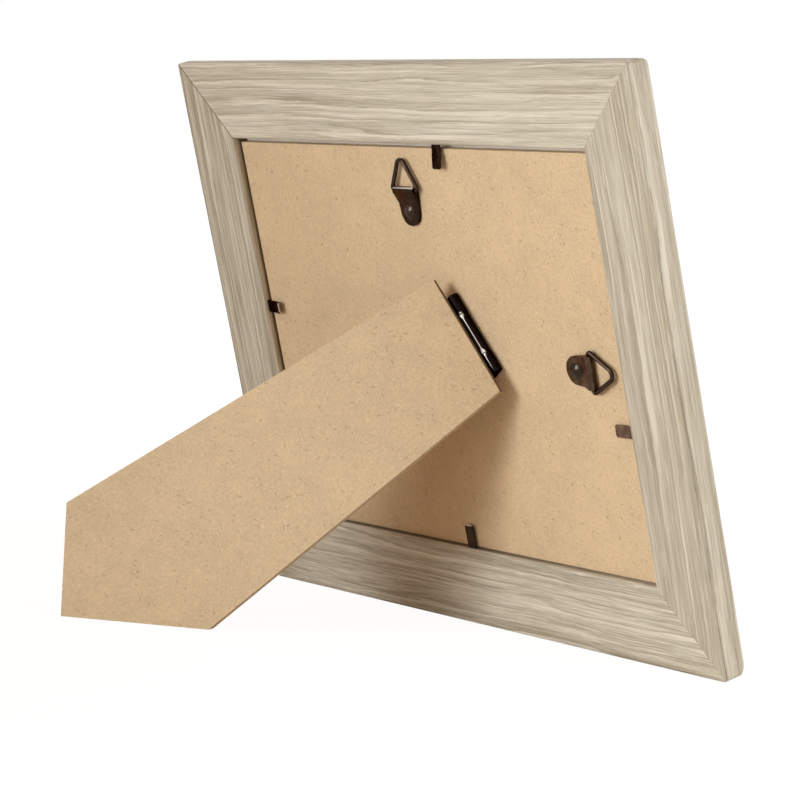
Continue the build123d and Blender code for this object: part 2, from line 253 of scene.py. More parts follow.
# Stage: where each light stands and what it faces, the floor, and the camera's sensor in millimetres
MIDDLE = (0.0, -0.01, 0.085)
LIGHTS = {
    "key": ((0.12, 1.22, 0.29), (-0.35, -0.01, 0.15)),
    "side": ((-0.82, -0.20, 0.30), MIDDLE),
    "fill": ((0.35, -1.25, 0.75), MIDDLE),
    "near": ((-0.75, 0.75, 0.30), MIDDLE),
}
WHITE = (1.0, 1.0, 1.0, 1.0)
FLOOR_SIDE = 8.0
FLOOR_DROP = 0.0002
FLOOR_TONES = (0.3, 0.7)
GLOW_DISTANCES = (0.2, 0.8)
SENSOR_WIDTH = 36.0


def colour_property(name, description, default):
    """A colour that a user may change."""
    return FloatVectorProperty(
        name=name, description=description, subtype="COLOR", size=3, min=0.0, max=1.0, default=default
    )


def length_property(name, description, default):
    """A length that a user may change."""
    return FloatProperty(
        name=name, description=description, unit="LENGTH", min=0.0, default=default, precision=5
    )


def share_property(name, description, default):
    """A share between nothing and all."""
    return FloatProperty(
        name=name, description=description, subtype="FACTOR", min=0.0, max=1.0, default=default
    )


def power_property(name, description, default):
    """A lamp's power that a user may change."""
    return FloatProperty(name=name, description=description, unit="POWER", min=0.0, default=default)


class MouldingLook(bpy.types.PropertyGroup):
    """Printed wrap of the moulding"""

    shade: colour_property("Shade", "Darkest streaks of the printed grain", (0.34, 0.28, 0.195))
    body: colour_property("Body", "Middle tone of the printed grain", (0.53, 0.47, 0.365))
    cream: colour_property("Cream", "Palest streaks of the printed grain", (0.73, 0.665, 0.54))
    # Seam colour, also used for the crease line, which on the top rail is painted shade
    seam: colour_property("Seam", "Mitre joints and the crease at the back edge", (0.11, 0.085, 0.06))
    # Raw core, also used as painted shade in the gap under the backboard
    raw: colour_property("Raw core", "Unwrapped core low on the rabbet walls", (0.17, 0.122, 0.076))
    seam_width: length_property("Seam width", "Width of the dark line at a mitre", 0.0004)
    crease_width: length_property("Crease width", "Width of the dark line at the back edge", 0.00065)
    roughness: share_property("Roughness", "Roughness of the wrap", 0.55)


class BoardLook(bpy.types.PropertyGroup):
    """Raw fibreboard, paper and glass"""

    base: colour_property("Backboard", "Overall colour of the backboard", (0.652, 0.480, 0.295))
    leg: colour_property("Leg", "Overall colour of the leg, from a paler sheet", (0.650, 0.491, 0.307))
    dark: colour_property("Dark fleck", "Bark flecks and dark fibres", (0.29, 0.165, 0.075))
    pale: colour_property("Pale fleck", "Pale fibres", (0.80, 0.67, 0.46))
    sawn: colour_property("Sawn edge", "Long edges of the leg, darkened by the saw", (0.45, 0.315, 0.185))
    # Painted shade at the leg's hinge end, standing in for the shadow where the hinge meets the leg
    hinge_end_shade: colour_property("Hinge end", "End of the leg at its hinge, darker still", (0.20, 0.135, 0.08))
    paper: colour_property("Paper", "Blank insert", (0.94, 0.89, 0.84))
    glass: colour_property("Glass", "Faint tint of the glass", (0.975, 0.995, 0.985))
    edge: length_property("Edge easing", "Easing of the leg's sawn edges", 0.00012)


class MetalLook(bpy.types.PropertyGroup):
    """Hangers, tabs and hinge"""

    bronze: colour_property("Bronze", "Hangers and bend tabs", (0.036, 0.022, 0.0155))
    bronze_worn: colour_property("Bronze, rubbed", "Paler patches of the bronze", (0.060, 0.037, 0.025))
    bronze_tint: colour_property("Bronze edge tint", "Bronze at a glancing angle", (0.85, 0.70, 0.62))
    rivet: colour_property("Rivet", "Domed rivets of the hangers", (0.036, 0.026, 0.0205))
    black: colour_property("Hinge black", "Leg hinge", (0.010, 0.0055, 0.005))
    black_tint: colour_property("Hinge edge tint", "Hinge at a glancing angle", (0.35, 0.27, 0.25))
    # Painted highlight: the colour laid on the top strap's fold, the hinge's barrel and two tabs' tips
    # where they catch the light
    bright: colour_property("Rubbed bright", "Bare metal where the coat has gone", (0.62, 0.54, 0.47))
    edge: length_property("Edge easing", "Easing of the stamped edges", 0.0001)
    knuckle_edge: length_property("Knuckle easing", "Easing of the knuckles' ends", 0.0003)
    segments: IntProperty(
        name="Edge segments", description="Facets across an eased edge", min=1, max=6, default=3
    )


class StageLook(bpy.types.PropertyGroup):
    """Camera, lights and floor"""

    eye: FloatVectorProperty(
        name="Camera place", description="Where the photograph was taken from", subtype="TRANSLATION",
        unit="LENGTH", size=3, default=(-0.751119, 0.534439, 0.161760),
    )
    turn: FloatVectorProperty(
        name="Camera turn", description="Which way the photograph was taken", subtype="EULER",
        unit="ROTATION", size=3, default=(radians(84.5514), radians(-0.9884), radians(-126.1009)),
    )
    lens: FloatProperty(
        name="Lens", description="Focal length on a 36 mm sensor", unit="CAMERA", default=136.14
    )
    key: power_property("Key light", "Power of the soft key light behind the frame", 3.0)
    key_colour: colour_property("Key colour", "Colour of the key light", (0.84, 0.932, 1.0))
    key_size: length_property("Key size", "Width of the key light", 0.8)
    key_spread: FloatProperty(
        name="Key spread", description="Angle of the key light's beam", subtype="ANGLE",
        default=radians(62.0),
    )
    side: power_property("Side light", "Power of the light to the right of the frame", 5.0)
    side_colour: colour_property("Side colour", "Colour of the side light", (0.80, 0.915, 1.0))
    side_size: length_property("Side size", "Width of the side light", 0.5)
    fill: power_property("Fill light", "Power of the light in front of the frame", 9.0)
    fill_colour: colour_property("Fill colour", "Colour of the fill light", (1.0, 1.0, 1.0))
    fill_size: length_property("Fill size", "Width of the fill light", 0.9)
    near: power_property("Near light", "Power of the weak light over the camera", 0.8)
    near_colour: colour_property("Near colour", "Colour of the near light", (0.94, 0.94, 0.90))
    near_size: length_property("Near size", "Width of the near light", 0.6)
    ambient: FloatProperty(
        name="Ambient", description="Strength of the room's light", min=0.0, default=0.285
    )
    room: colour_property("Room", "Colour of the room's light", (1.0, 0.62, 0.34))
    floor_dark: colour_property("Floor, darker", "Darker tint of the floor", (0.84, 0.78, 0.71))
    floor_pale: colour_property("Floor, paler", "Paler tint of the floor", (0.86, 0.80, 0.73))
    floor_glow: share_property("Floor glow", "How much of the floor's white is its own", 0.86)
    floor_white: FloatProperty(
        name="Floor white", description="Strength of the floor's own white", default=1.1
    )


def look(name):
    """One of the property groups, as the scene holds it."""
    return getattr(bpy.context.scene, f"photo_frame_{name}")


def add(tree, kind, inputs=None, **settings):
    """A node with its settings, its constant inputs and its links."""
    made = tree.nodes.new(kind)
    for key, value in settings.items():
        setattr(made, key, value)
    for key, value in (inputs or {}).items():
        if isinstance(value, bpy.types.NodeSocket):
            tree.links.new(value, made.inputs[key])
        else:
            made.inputs[key].default_value = value
    return made


def sums(tree, operation, a, b=0.0):
    """Output of a maths node."""
    return add(tree, "ShaderNodeMath", {0: a, 1: b}, operation=operation).outputs[0]


def times(tree, first, *others):
    """Product of values."""
    for other in others:
        first = sums(tree, "MULTIPLY", first, other)
    return first


def largest(tree, first, *others):
    """The largest of some values."""
    for other in others:
        first = sums(tree, "MAXIMUM", first, other)
    return first


def weighted(tree, values, weights, start=0.0):
    """Sum of values, each times its weight, from a starting value."""
    total = start
    for value, weight in zip(values, weights):
        inputs = {0: value, 1: weight, 2: total}
        total = add(tree, "ShaderNodeMath", inputs, operation="MULTIPLY_ADD").outputs[0]
    return total


def spread(tree, value, low, high, to_low=0.0, to_high=1.0):
    """A value stretched from one range to another, held at the ends."""
    made = add(
        tree,
        "ShaderNodeMapRange",
        {"Value": value, "From Min": low, "From Max": high, "To Min": to_low, "To Max": to_high},
        interpolation_type="SMOOTHSTEP",
    )
    return made.outputs["Result"]


def vectors(tree, operation, a, b=(0.0, 0.0, 0.0), output="Vector"):
    """Output of a vector maths node."""
    return add(tree, "ShaderNodeVectorMath", {0: a, 1: b}, operation=operation).outputs[output]


def separated(tree, vector):
    """The X, Y and Z of a vector."""
    return add(tree, "ShaderNodeSeparateXYZ", {"Vector": vector}).outputs


def joined(tree, x, y, z):
    """A vector of three values."""
    return add(tree, "ShaderNodeCombineXYZ", {"X": x, "Y": y, "Z": z}).outputs["Vector"]


def scaled(tree, vector, scale, turn=0.0):
    """A place turned about its third axis and stretched, evenly where there is one scale."""
    stretch = scale if isinstance(scale, tuple) else (scale, scale, scale)
    turned = add(
        tree, "ShaderNodeVectorRotate", {"Vector": vector, "Angle": turn}, rotation_type="Z_AXIS"
    ).outputs["Vector"]
    return vectors(tree, "MULTIPLY", turned, stretch)


def noise(tree, place, seed, layer, turn=0.0):
    """One layer of smooth noise, with a seed of its own."""
    scale, detail, roughness, distortion = NOISE[layer]
    made = add(
        tree,
        "ShaderNodeTexNoise",
        {
            "Vector": scaled(tree, place, scale, turn),
            "W": seed,
            "Scale": 1.0,
            "Detail": detail,
            "Roughness": roughness,
            "Distortion": distortion,
        },
        noise_dimensions="4D",
    )
    return made.outputs["Fac"]


def blend_colour(tree, share, a, b):
    """Two colours mixed by a share."""
    made = add(tree, "ShaderNodeMix", {"Factor": share}, data_type="RGBA", clamp_factor=True)
    for socket, value in ((made.inputs[MIX_A], a), (made.inputs[MIX_B], b)):
        if isinstance(value, bpy.types.NodeSocket):
            tree.links.new(value, socket)
        else:
            socket.default_value = (*value, 1.0)
    return made.outputs[MIX_RESULT]


def ramp(tree, value, stops):
    """A value turned into a colour by stops of (place, colour), lowest first."""
    made = add(tree, "ShaderNodeValToRGB", {"Fac": value})
    elements = made.color_ramp.elements
    for stop in stops[1:-1]:
        elements.new(stop[0])
    for element, (place, colour) in zip(elements, stops):
        element.position = place
        element.color = (*colour, 1.0)
    return made.outputs["Color"]


def shaded(tree, value, colour, shades):
    """A colour made darker and paler by a value, from shades of (place, share of the colour)."""
    return ramp(tree, value, [(place, Vector(colour) * share) for place, share in shades])


def new_group(name, outputs):
    """An empty shader node group: its tree, its place and seed, and its end."""
    tree = bpy.data.node_groups.new(name, "ShaderNodeTree")
    for socket, kind in (("Place", "NodeSocketVector"), ("Seed", "NodeSocketFloat")):
        tree.interface.new_socket(socket, in_out="INPUT", socket_type=kind)
    for socket in outputs:
        tree.interface.new_socket(socket, in_out="OUTPUT", socket_type="NodeSocketFloat")
    start, end = add(tree, "NodeGroupInput").outputs, add(tree, "NodeGroupOutput")
    return tree, start["Place"], start["Seed"], end


def put_out(tree, end, values):
    """Links values to a group's outputs of the same order."""
    for socket, value in zip(end.inputs, values):
        tree.links.new(value, socket)
    return tree


def grain_group():
    """Printed oak grain: x runs along the grain."""
    tree, place, seed, end = new_group("printed_grain", ("Tone", "Line", "Groove", "Pore", "Height"))
    aside = weighted(tree, [noise(tree, place, seed, layer) for layer in ("sway", "jitter")], SIDE_REACH)
    swayed = vectors(tree, "ADD", place, joined(tree, 0.0, aside, aside))
    broad, streak, fine, breaks, dashes = (
        noise(tree, swayed, seed, layer) for layer in ("broad", "streak", "fine", "breaks", "dashes")
    )
    # Growth lines: a saw tooth across the grain, its pitch drifting with the broad bands
    parts = separated(tree, swayed)
    across = sums(tree, "ADD", parts["Y"], parts["Z"])
    ring = sums(tree, "FRACT", weighted(tree, (across, broad, streak), LINE_WEIGHTS, FIRST_LINE))
    unbroken = spread(tree, breaks, *LINE_BREAKS)
    crest = times(tree, spread(tree, ring, *CREST_RISE), spread(tree, ring, *CREST_FALL), unbroken)
    # Painted shade: a dark dip just after each crest, as if the embossed relief were lit from one side
    dip = times(tree, spread(tree, ring, *DIP_FALL), spread(tree, ring, *DIP_RISE))
    groove_shade = times(tree, dip, spread(tree, unbroken, *GROOVE_SHADE_BREAKS))
    tone = weighted(tree, (broad, streak, fine, ring), TONE_WEIGHTS, TONE_START)
    pore = times(tree, spread(tree, dashes, *PORE_DASHES), spread(tree, streak, *PORE_STREAKS))
    glint = times(tree, spread(tree, dashes, *GLINT_DASHES), spread(tree, streak, *GLINT_STREAKS))
    line = sums(tree, "MAXIMUM", crest, glint)
    height = weighted(tree, (streak, line, pore), RELIEF_WEIGHTS)
    return put_out(tree, end, (tone, line, groove_shade, pore, height))


def fibre_group():
    """Flecks and fibres of raw fibreboard, lying in the first two axes."""
    tree, place, seed, end = new_group("fibreboard_fleck", ("Dark", "Pale", "Mottle", "Height"))
    mottle, grit, bend, patch = (
        noise(tree, place, seed, layer) for layer in ("mottle", "grit", "bend", "patch")
    )
    bent = vectors(tree, "ADD", place, times(tree, bend, FIBRE_BEND))
    flecks = ([], [])
    for turn, length, width in FLECK_LAYERS:
        cells = add(
            tree,
            "ShaderNodeTexVoronoi",
            {
                "Vector": scaled(tree, bent, (length, width, FLECK_DEPTH), turn),
                "Scale": 1.0,
                "Randomness": 1.0,
            },
            feature="F1",
        ).outputs
        dash = spread(tree, cells["Distance"], *FLECK_EDGE)
        chances = add(tree, "ShaderNodeSeparateColor", {"Color": cells["Color"]}).outputs
        for kind, chance in zip(flecks, chances):
            kind.append(times(tree, dash, spread(tree, chance, *FLECK_CHANCE)))
    dark, pale = (largest(tree, *kind) for kind in flecks)
    tone = weighted(tree, (patch, mottle, grit), MOTTLE_WEIGHTS, MOTTLE_START)
    height = sums(tree, "SUBTRACT", sums(tree, "ADD", grit, pale), dark)
    return put_out(tree, end, (dark, pale, tone, height))


def patina_group():
    """Cloudy rubbing and fine scratches of stamped metal."""
    tree, place, seed, end = new_group("metal_patina", ("Cloud", "Scratch", "Height"))
    cloud = noise(tree, place, seed, "cloud")
    scratch = spread(tree, noise(tree, place, seed, "scratch", SCRATCH_TURN), *SCRATCH_EDGE)
    peel = noise(tree, place, seed, "peel")
    return put_out(tree, end, (cloud, scratch, peel))


GROUPS = {"printed_grain": grain_group, "fibreboard_fleck": fibre_group, "metal_patina": patina_group}


def use_group(tree, name, place, seed):
    """A shared effect placed in a material."""
    group = bpy.data.node_groups.get(name) or GROUPS[name]()
    return add(tree, "ShaderNodeGroup", {"Place": place, "Seed": seed}, node_tree=group).outputs


def start_material(name):
    """A new node material, its tree and its shader."""
    material = bpy.data.materials.new(name)
    material.use_nodes = True
    tree = material.node_tree
    return material, tree, tree.nodes["Principled BSDF"]


def surface(tree, shader, colour, roughness, height, strength, distance):
    """Gives a shader its colour, its roughness and its fine relief."""
    bump = add(tree, "ShaderNodeBump", {"Height": height, "Strength": strength, "Distance": distance})
    tree.links.new(colour, shader.inputs["Base Color"])
    tree.links.new(roughness, shader.inputs["Roughness"])
    tree.links.new(bump.outputs["Normal"], shader.inputs["Normal"])


def object_place(tree):
    """Place on a piece, in the shared frame."""
    return add(tree, "ShaderNodeTexCoord").outputs["Object"]


def frame_place(tree):
    """Place on the leaning frame: x sideways, y out of its back, z up the frame, from the back's middle."""
    shift = (-BACK_MIDDLE.x, -BACK_MIDDLE.dot(OUT), -BACK_MIDDLE.dot(UP_FRAME))
    return add(
        tree,
        "ShaderNodeMapping",
        {"Vector": object_place(tree), "Rotation": (LEAN, 0.0, 0.0), "Location": shift},
        vector_type="POINT",
    ).outputs["Vector"]


def board_place(tree):
    """Place on the backboard: the first two axes lie in its face."""
    parts = separated(tree, frame_place(tree))
    return joined(tree, parts["X"], parts["Z"], parts["Y"])


def joint(name):
    """Centre and axis of a joint."""
    found = next(entry for entry in frame["joints"] if entry["name"] == name)
    return Vector(found["pos_m"]), Vector(found["axis"])


def measured(tree, origin, directions):
    """How far a place is from an origin, along each of some directions."""
    away = vectors(tree, "SUBTRACT", object_place(tree), tuple(origin))
    return [vectors(tree, "DOT_PRODUCT", away, tuple(direction), "Value") for direction in directions]


def leg_directions():
    """Directions of the open leg: along its hinge, down to its foot and out of its broad face."""
    axis = joint("leg_hinge")[1]
    broadest = max(frame["nodes"]["easel_leg"].data.polygons, key=lambda face: face.area)
    normal = broadest.normal if broadest.normal.y > 0 else -broadest.normal
    return axis, normal.cross(axis), normal


def leg_place(tree):
    """Place on the open leg: the first two axes lie in its face."""
    return joined(tree, *measured(tree, (0.0, 0.0, 0.0), leg_directions()))


def print_colour(tree, grain, side):
    """Colour of the printed grain on one rail, with painted shade in the dip after each crest."""
    wrap = look("moulding")
    contrast = RAIL_CONTRAST[side]
    tone_start = RAIL_TONE_AND_SHADE[side] + BODY_TONE * (1.0 - contrast)
    tone = weighted(tree, (grain["Tone"],), (contrast,), tone_start)
    stops = ((SHADE_TONE, wrap.shade), (BODY_TONE, wrap.body), (CREAM_TONE, wrap.cream))
    colour = blend_colour(tree, times(tree, grain["Line"], LINE_SHARE), ramp(tree, tone, stops), wrap.cream)
    groove_shades, pores = times(tree, grain["Groove"], GROOVE_SHADE_SHARE), times(tree, grain["Pore"], PORE_SHARE)
    return blend_colour(tree, largest(tree, groove_shades, pores), colour, wrap.shade)


def moulding_material(side):
    """Printed wrap of one rail, its grain running along the rail, with its seams and creases; painted shade
    lies after the grain's crests, along the top rail's crease and low on the bottom rail's wall, darkest on
    the left.
    """
    wrap = look("moulding")
    material, tree, shader = start_material(f"moulding_wrap_{side}")
    parts = separated(tree, frame_place(tree))
    level = side in LEVEL_RAILS
    along, across = (parts["X"], parts["Z"]) if level else (parts["Z"], parts["X"])
    half_along, half_across = OPENING_HALF if level else OPENING_HALF[::-1]
    depth = parts["Y"]
    pitch = GRAIN_PITCH[side]
    place = scaled(tree, joined(tree, along, across, depth), (1.0, pitch, pitch))
    grain = use_group(tree, "printed_grain", place, RAIL_SEEDS[side])
    colour = print_colour(tree, grain, side)

    # Distances out from the rabbet wall, in from the outer side, and from the mitre
    reach = sums(tree, "SUBTRACT", sums(tree, "ABSOLUTE", across), half_across)
    inward = sums(tree, "SUBTRACT", RAIL_WIDTH, reach)
    to_mitre = sums(tree, "SUBTRACT", sums(tree, "ADD", reach, half_along), sums(tree, "ABSOLUTE", along))

    # Only the mitre at the top left stands open
    at_left, at_top = (sums(tree, "GREATER_THAN", parts[axis], 0.0) for axis in "XZ")
    openness = spread(tree, times(tree, at_left, at_top), 0.0, 1.0, CLOSED_MITRE, 1.0)
    mitre = times(tree, spread(tree, to_mitre, wrap.seam_width, wrap.seam_width * SEAM_CORE), openness)

    # Dark line at the crease by the rounded back edge; on the top rail it is painted shade for the shaded
    # top side
    from_crease = sums(tree, "ABSOLUTE", sums(tree, "SUBTRACT", inward, CREASE_PLACE))
    at_edge = times(tree, spread(tree, depth, *CREASE_DEPTHS), spread(tree, grain["Tone"], *CREASE_WAVER))
    crease = times(tree, spread(tree, from_crease, wrap.crease_width, 0.0), at_edge, CREASE_SHARE[side])
    colour = blend_colour(tree, largest(tree, mitre, crease), colour, wrap.seam)

    # Raw core low on the rabbet walls; on the bottom rail it reaches higher as painted shade in the gap
    # under the backboard
    raw = times(
        tree,
        spread(tree, sums(tree, "ABSOLUTE", reach), *RAW_BAND),
        spread(tree, depth, RAW_START[side], RAW_START[side] - RAW_BLEND),
        spread(tree, depth, -RABBET_DEPTH - RAW_BLEND, -RABBET_DEPTH),
    )
    # Painted shadow of the leg: darkest on the left of a level rail
    if level:
        raw = times(tree, raw, spread(tree, along, *RAW_SHADOW_FADE))
    colour = blend_colour(tree, times(tree, raw, RAW_SHARE[side]), colour, wrap.raw)

    rough, smooth = wrap.roughness + WRAP_SWING, wrap.roughness - WRAP_SWING
    roughness = spread(tree, grain["Tone"], *WRAP_TONES, rough, smooth)
    surface(tree, shader, colour, roughness, grain["Height"], *WRAP_BUMP)
    shader.inputs["Specular IOR Level"].default_value = WRAP_SPECULAR
    return material


def fibreboard_material(name, place_of, seed, sheet, faces=None, end=None):
    """Raw fibreboard with flecks in its face, darker between its faces' levels and darkest at one end,
    where shade is painted.
    """
    board = look("board")
    material, tree, shader = start_material(name)
    place = place_of(tree)
    fleck = use_group(tree, "fibreboard_fleck", place, seed)
    colour = shaded(tree, fleck["Mottle"], sheet, FIBRE_SHADES)
    colour = blend_colour(tree, times(tree, fleck["Dark"], DARK_SHARE), colour, board.dark)
    colour = blend_colour(tree, times(tree, fleck["Pale"], PALE_SHARE), colour, board.pale)
    if faces:
        parts = separated(tree, place)
        low, high = faces
        inside = times(
            tree,
            spread(tree, parts["Z"], low + EDGE_MARGIN, low + 2 * EDGE_MARGIN),
            spread(tree, parts["Z"], high - EDGE_MARGIN, high - 2 * EDGE_MARGIN),
        )
        colour = blend_colour(tree, times(tree, inside, SAWN_SHARE), colour, board.sawn)
        # Painted shade at the hinge end of the leg, where the hinge shades it
        end_shade = times(tree, inside, spread(tree, parts["Y"], end + 3 * EDGE_MARGIN, end + EDGE_MARGIN))
        colour = blend_colour(tree, end_shade, colour, board.hinge_end_shade)
    roughness = spread(tree, fleck["Mottle"], *FIBRE_ROUGHNESS)
    surface(tree, shader, colour, roughness, fleck["Height"], *FIBRE_BUMP)
    shader.inputs["Specular IOR Level"].default_value = FIBRE_SPECULAR
    return material


def metal_material(name, base, rubbed, tint, roughness, seed, highlight_mask=None):
    """Stamped and coated metal with cloudy rubbing, and a painted highlight where a mask says so."""
    material, tree, shader = start_material(name)
    patina = use_group(tree, "metal_patina", object_place(tree), seed)
    scratches = times(tree, patina["Scratch"], SCRATCH_SHARE)
    worn = largest(tree, spread(tree, patina["Cloud"], *WEAR_CLOUDS), scratches)
    colour = blend_colour(tree, worn, base, rubbed)
    # Painted highlight where the mask says so
    if highlight_mask:
        colour = blend_colour(tree, highlight_mask(tree), colour, look("metal").bright)
    clouded = spread(tree, patina["Cloud"], *ROUGH_CLOUDS, roughness - LESS_ROUGH, roughness + MORE_ROUGH)
    bump = (roughness * METAL_BUMP_SHARE, METAL_BUMP_HEIGHT)
    surface(tree, shader, colour, clouded, patina["Height"], *bump)
    shader.inputs["Metallic"].default_value = 1.0
    shader.inputs["Specular Tint"].default_value = (*tint, 1.0)
    return material


def fold_highlight(tree):
    """Line along the fold of the top strap, where a highlight is painted."""
    up, = measured(tree, joint("ring_top_swing")[0], (UP_FRAME,))
    return spread(tree, up, *FOLD_HIGHLIGHT)


def barrel_highlight(tree):
    """Line down the outer side of the hinge's barrel where a highlight is painted, widest where two
    knuckles meet.
    """
    centre, axis = joint("leg_hinge")
    along, across, out = measured(tree, centre, (axis, axis.cross(OUT), OUT))
    from_meeting = sums(tree, "SUBTRACT", sums(tree, "ABSOLUTE", along), KNUCKLE_HALF)
    half_width = spread(tree, sums(tree, "ABSOLUTE", from_meeting), *BARREL_WIDTHS)
    aside = sums(tree, "ABSOLUTE", sums(tree, "SUBTRACT", across, BARREL_ASIDE))
    line = spread(tree, sums(tree, "DIVIDE", aside, half_width), *BARREL_EDGE)
    lower = times(tree, spread(tree, along, *BARREL_FOOT), spread(tree, along, *BARREL_LOWER))
    ends = times(tree, spread(tree, along, *BARREL_TOP), lower)
    return times(tree, line, ends, sums(tree, "GREATER_THAN", out, 0.0))


def tip_highlight(side):
    """Mask of the free end of one bend tab, where a highlight is painted."""
    centre, inward = joint(f"tab_{side}_bend")[0], INWARD[side]
    vertices = frame["nodes"][f"bend_tab_{side}"].data.vertices
    tip = max((vertex.co - centre).dot(inward) for vertex in vertices)

    def mask(tree):
        along, = measured(tree, centre, (inward,))
        return spread(tree, along, *(tip - distance for distance in TIP_HIGHLIGHT))

    return mask


def bronze_material(name="satin_bronze", highlight_mask=None, tone=1.0, roughness=BRONZE_ROUGHNESS):
    """Satin dark bronze of the hangers and tabs; a tone makes a piece paler or darker as painted light and
    shade, and a mask adds a painted highlight.
    """
    metal = look("metal")
    bronze, worn = Vector(metal.bronze) * tone, Vector(metal.bronze_worn) * tone
    tint = Vector(metal.bronze_tint) * min(tone, 1.0)
    return metal_material(name, bronze, worn, tint, roughness, SEEDS["bronze"], highlight_mask)


def rivet_material():
    """Dark steel of the rivets."""
    metal = look("metal")
    rubbed = Vector(metal.rivet) * RIVET_RUB
    return metal_material(
        "rivet_steel", metal.rivet, rubbed, metal.bronze_tint, COAT_ROUGHNESS, SEEDS["rivet"]
    )


def hinge_material():
    """Glossy near-black coat of the leg hinge, with a painted highlight along its barrel."""
    metal = look("metal")
    rubbed = Vector(metal.black) * HINGE_RUB
    return metal_material(
        "hinge_black", metal.black, rubbed, metal.black_tint, COAT_ROUGHNESS, SEEDS["hinge"], barrel_highlight
    )


def paper_material():
    """Blank uncoated paper."""
    material, tree, shader = start_material("blank_paper")
    place = object_place(tree)
    tooth, cast = (noise(tree, place, SEEDS[layer], layer) for layer in ("tooth", "cast"))
    tone = sums(tree, "ADD", times(tree, tooth, TOOTH_SHARE), times(tree, cast, CAST_SHARE))
    colour = shaded(tree, tone, look("board").paper, PAPER_SHADES)
    surface(tree, shader, colour, spread(tree, tooth, *PAPER_ROUGHNESS), tooth, *PAPER_BUMP)
    return material


def glass_material():
    """Clear picture glass with faint smears."""
    material, tree, shader = start_material("picture_glass")
    smear = noise(tree, object_place(tree), SEEDS["smear"], "smear")
    tree.links.new(spread(tree, smear, *GLASS_ROUGHNESS), shader.inputs["Roughness"])
    shader.inputs["Base Color"].default_value = (*look("board").glass, 1.0)
    shader.inputs["Transmission Weight"].default_value = 1.0
    shader.inputs["IOR"].default_value = GLASS_IOR
    return material


def dress(piece, material):
    """Puts one material on a piece."""
    piece.data.materials.clear()
    piece.data.materials.append(material)


def eased_copy(node, body, width, segments, inset=0.0):
    """A copy of a CAD piece, drawn in and with its sharp edges eased, which stands in its place."""
    piece = bpy.data.objects.new(f"{node}_eased", frame["nodes"][node].data.copy())
    bpy.context.scene.collection.objects.link(piece)
    bpy.ops.object.select_all(action="DESELECT")
    piece.select_set(True)
    bpy.context.view_layer.objects.active = piece
    bpy.ops.mesh.customdata_custom_splitnormals_clear()
    bpy.ops.object.mode_set(mode="EDIT")
    bpy.ops.mesh.select_all(action="SELECT")
    bpy.ops.mesh.remove_doubles(threshold=MERGE_DISTANCE)
    bpy.ops.mesh.dissolve_limited(angle_limit=FLAT_ANGLE)
    bpy.ops.object.mode_set(mode="OBJECT")
    if inset:
        drawn_in = piece.modifiers.new("drawn_in", "DISPLACE")
        drawn_in.mid_level = 0.0
        drawn_in.strength = -inset
        bpy.ops.object.modifier_apply(modifier=drawn_in.name)
    easing = piece.modifiers.new("easing", "BEVEL")
    easing.width = width
    easing.segments = segments
    easing.limit_method = "ANGLE"
    easing.angle_limit = SHARP_ANGLE
    easing.use_clamp_overlap = True
    bpy.ops.object.modifier_apply(modifier=easing.name)
    bpy.ops.object.shade_smooth_by_angle(angle=SHARP_ANGLE)
    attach(piece, body)
    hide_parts(node)
    return piece


class PHOTOFRAME_OT_moulding(bpy.types.Operator):
    """Wrap the four rails in printed grain that runs along each of them"""

    bl_idname = "photo_frame.moulding"
    bl_label = "Moulding"

    def execute(self, context):
        for side in RAILS:
            dress(frame["nodes"][f"rail_{side}"], moulding_material(side))
        return {"FINISHED"}


class PHOTOFRAME_OT_stack(bpy.types.Operator):
    """Finish the backboard and the glass, and lay the blank insert clear of the glass"""

    bl_idname = "photo_frame.stack"
    bl_label = "Backboard, insert and glass"

    def execute(self, context):
        sheet = look("board").base
        backboard = fibreboard_material("fibreboard_back", board_place, SEEDS["backboard"], sheet)
        dress(frame["nodes"]["backboard"], backboard)
        insert = eased_copy(
            "photo_insert", "frame", PAPER_EDGE, PAPER_SEGMENTS, inset=PAPER_INSET
        )
        dress(insert, paper_material())
        dress(frame["nodes"]["glass"], glass_material())
        return {"FINISHED"}


class PHOTOFRAME_OT_leg(bpy.types.Operator):
    """Model the easel leg with its sawn edges eased"""

    bl_idname = "photo_frame.leg"
    bl_label = "Easel leg"

    def execute(self, context):
        board = look("board")
        leg = eased_copy("easel_leg", "leg", board.edge, LEG_SEGMENTS)
        down, normal = leg_directions()[1:]
        levels = [vertex.co.dot(normal) for vertex in leg.data.vertices]
        faces = (min(levels), max(levels))
        end = min(vertex.co.dot(down) for vertex in leg.data.vertices)
        dress(leg, fibreboard_material("fibreboard_leg", leg_place, SEEDS["leg"], board.leg, faces, end))
        return {"FINISHED"}


class PHOTOFRAME_OT_hinge(bpy.types.Operator):
    """Model the leg hinge with its knuckles' ends eased"""

    bl_idname = "photo_frame.hinge"
    bl_label = "Leg hinge"

    def execute(self, context):
        metal = look("metal")
        black = hinge_material()
        for node, body in (("hinge_leaf_board", "frame"), ("hinge_leaf_leg", "leg")):
            dress(eased_copy(node, body, metal.knuckle_edge, metal.segments), black)
        dress(frame["nodes"]["hinge_pin"], black)
        return {"FINISHED"}


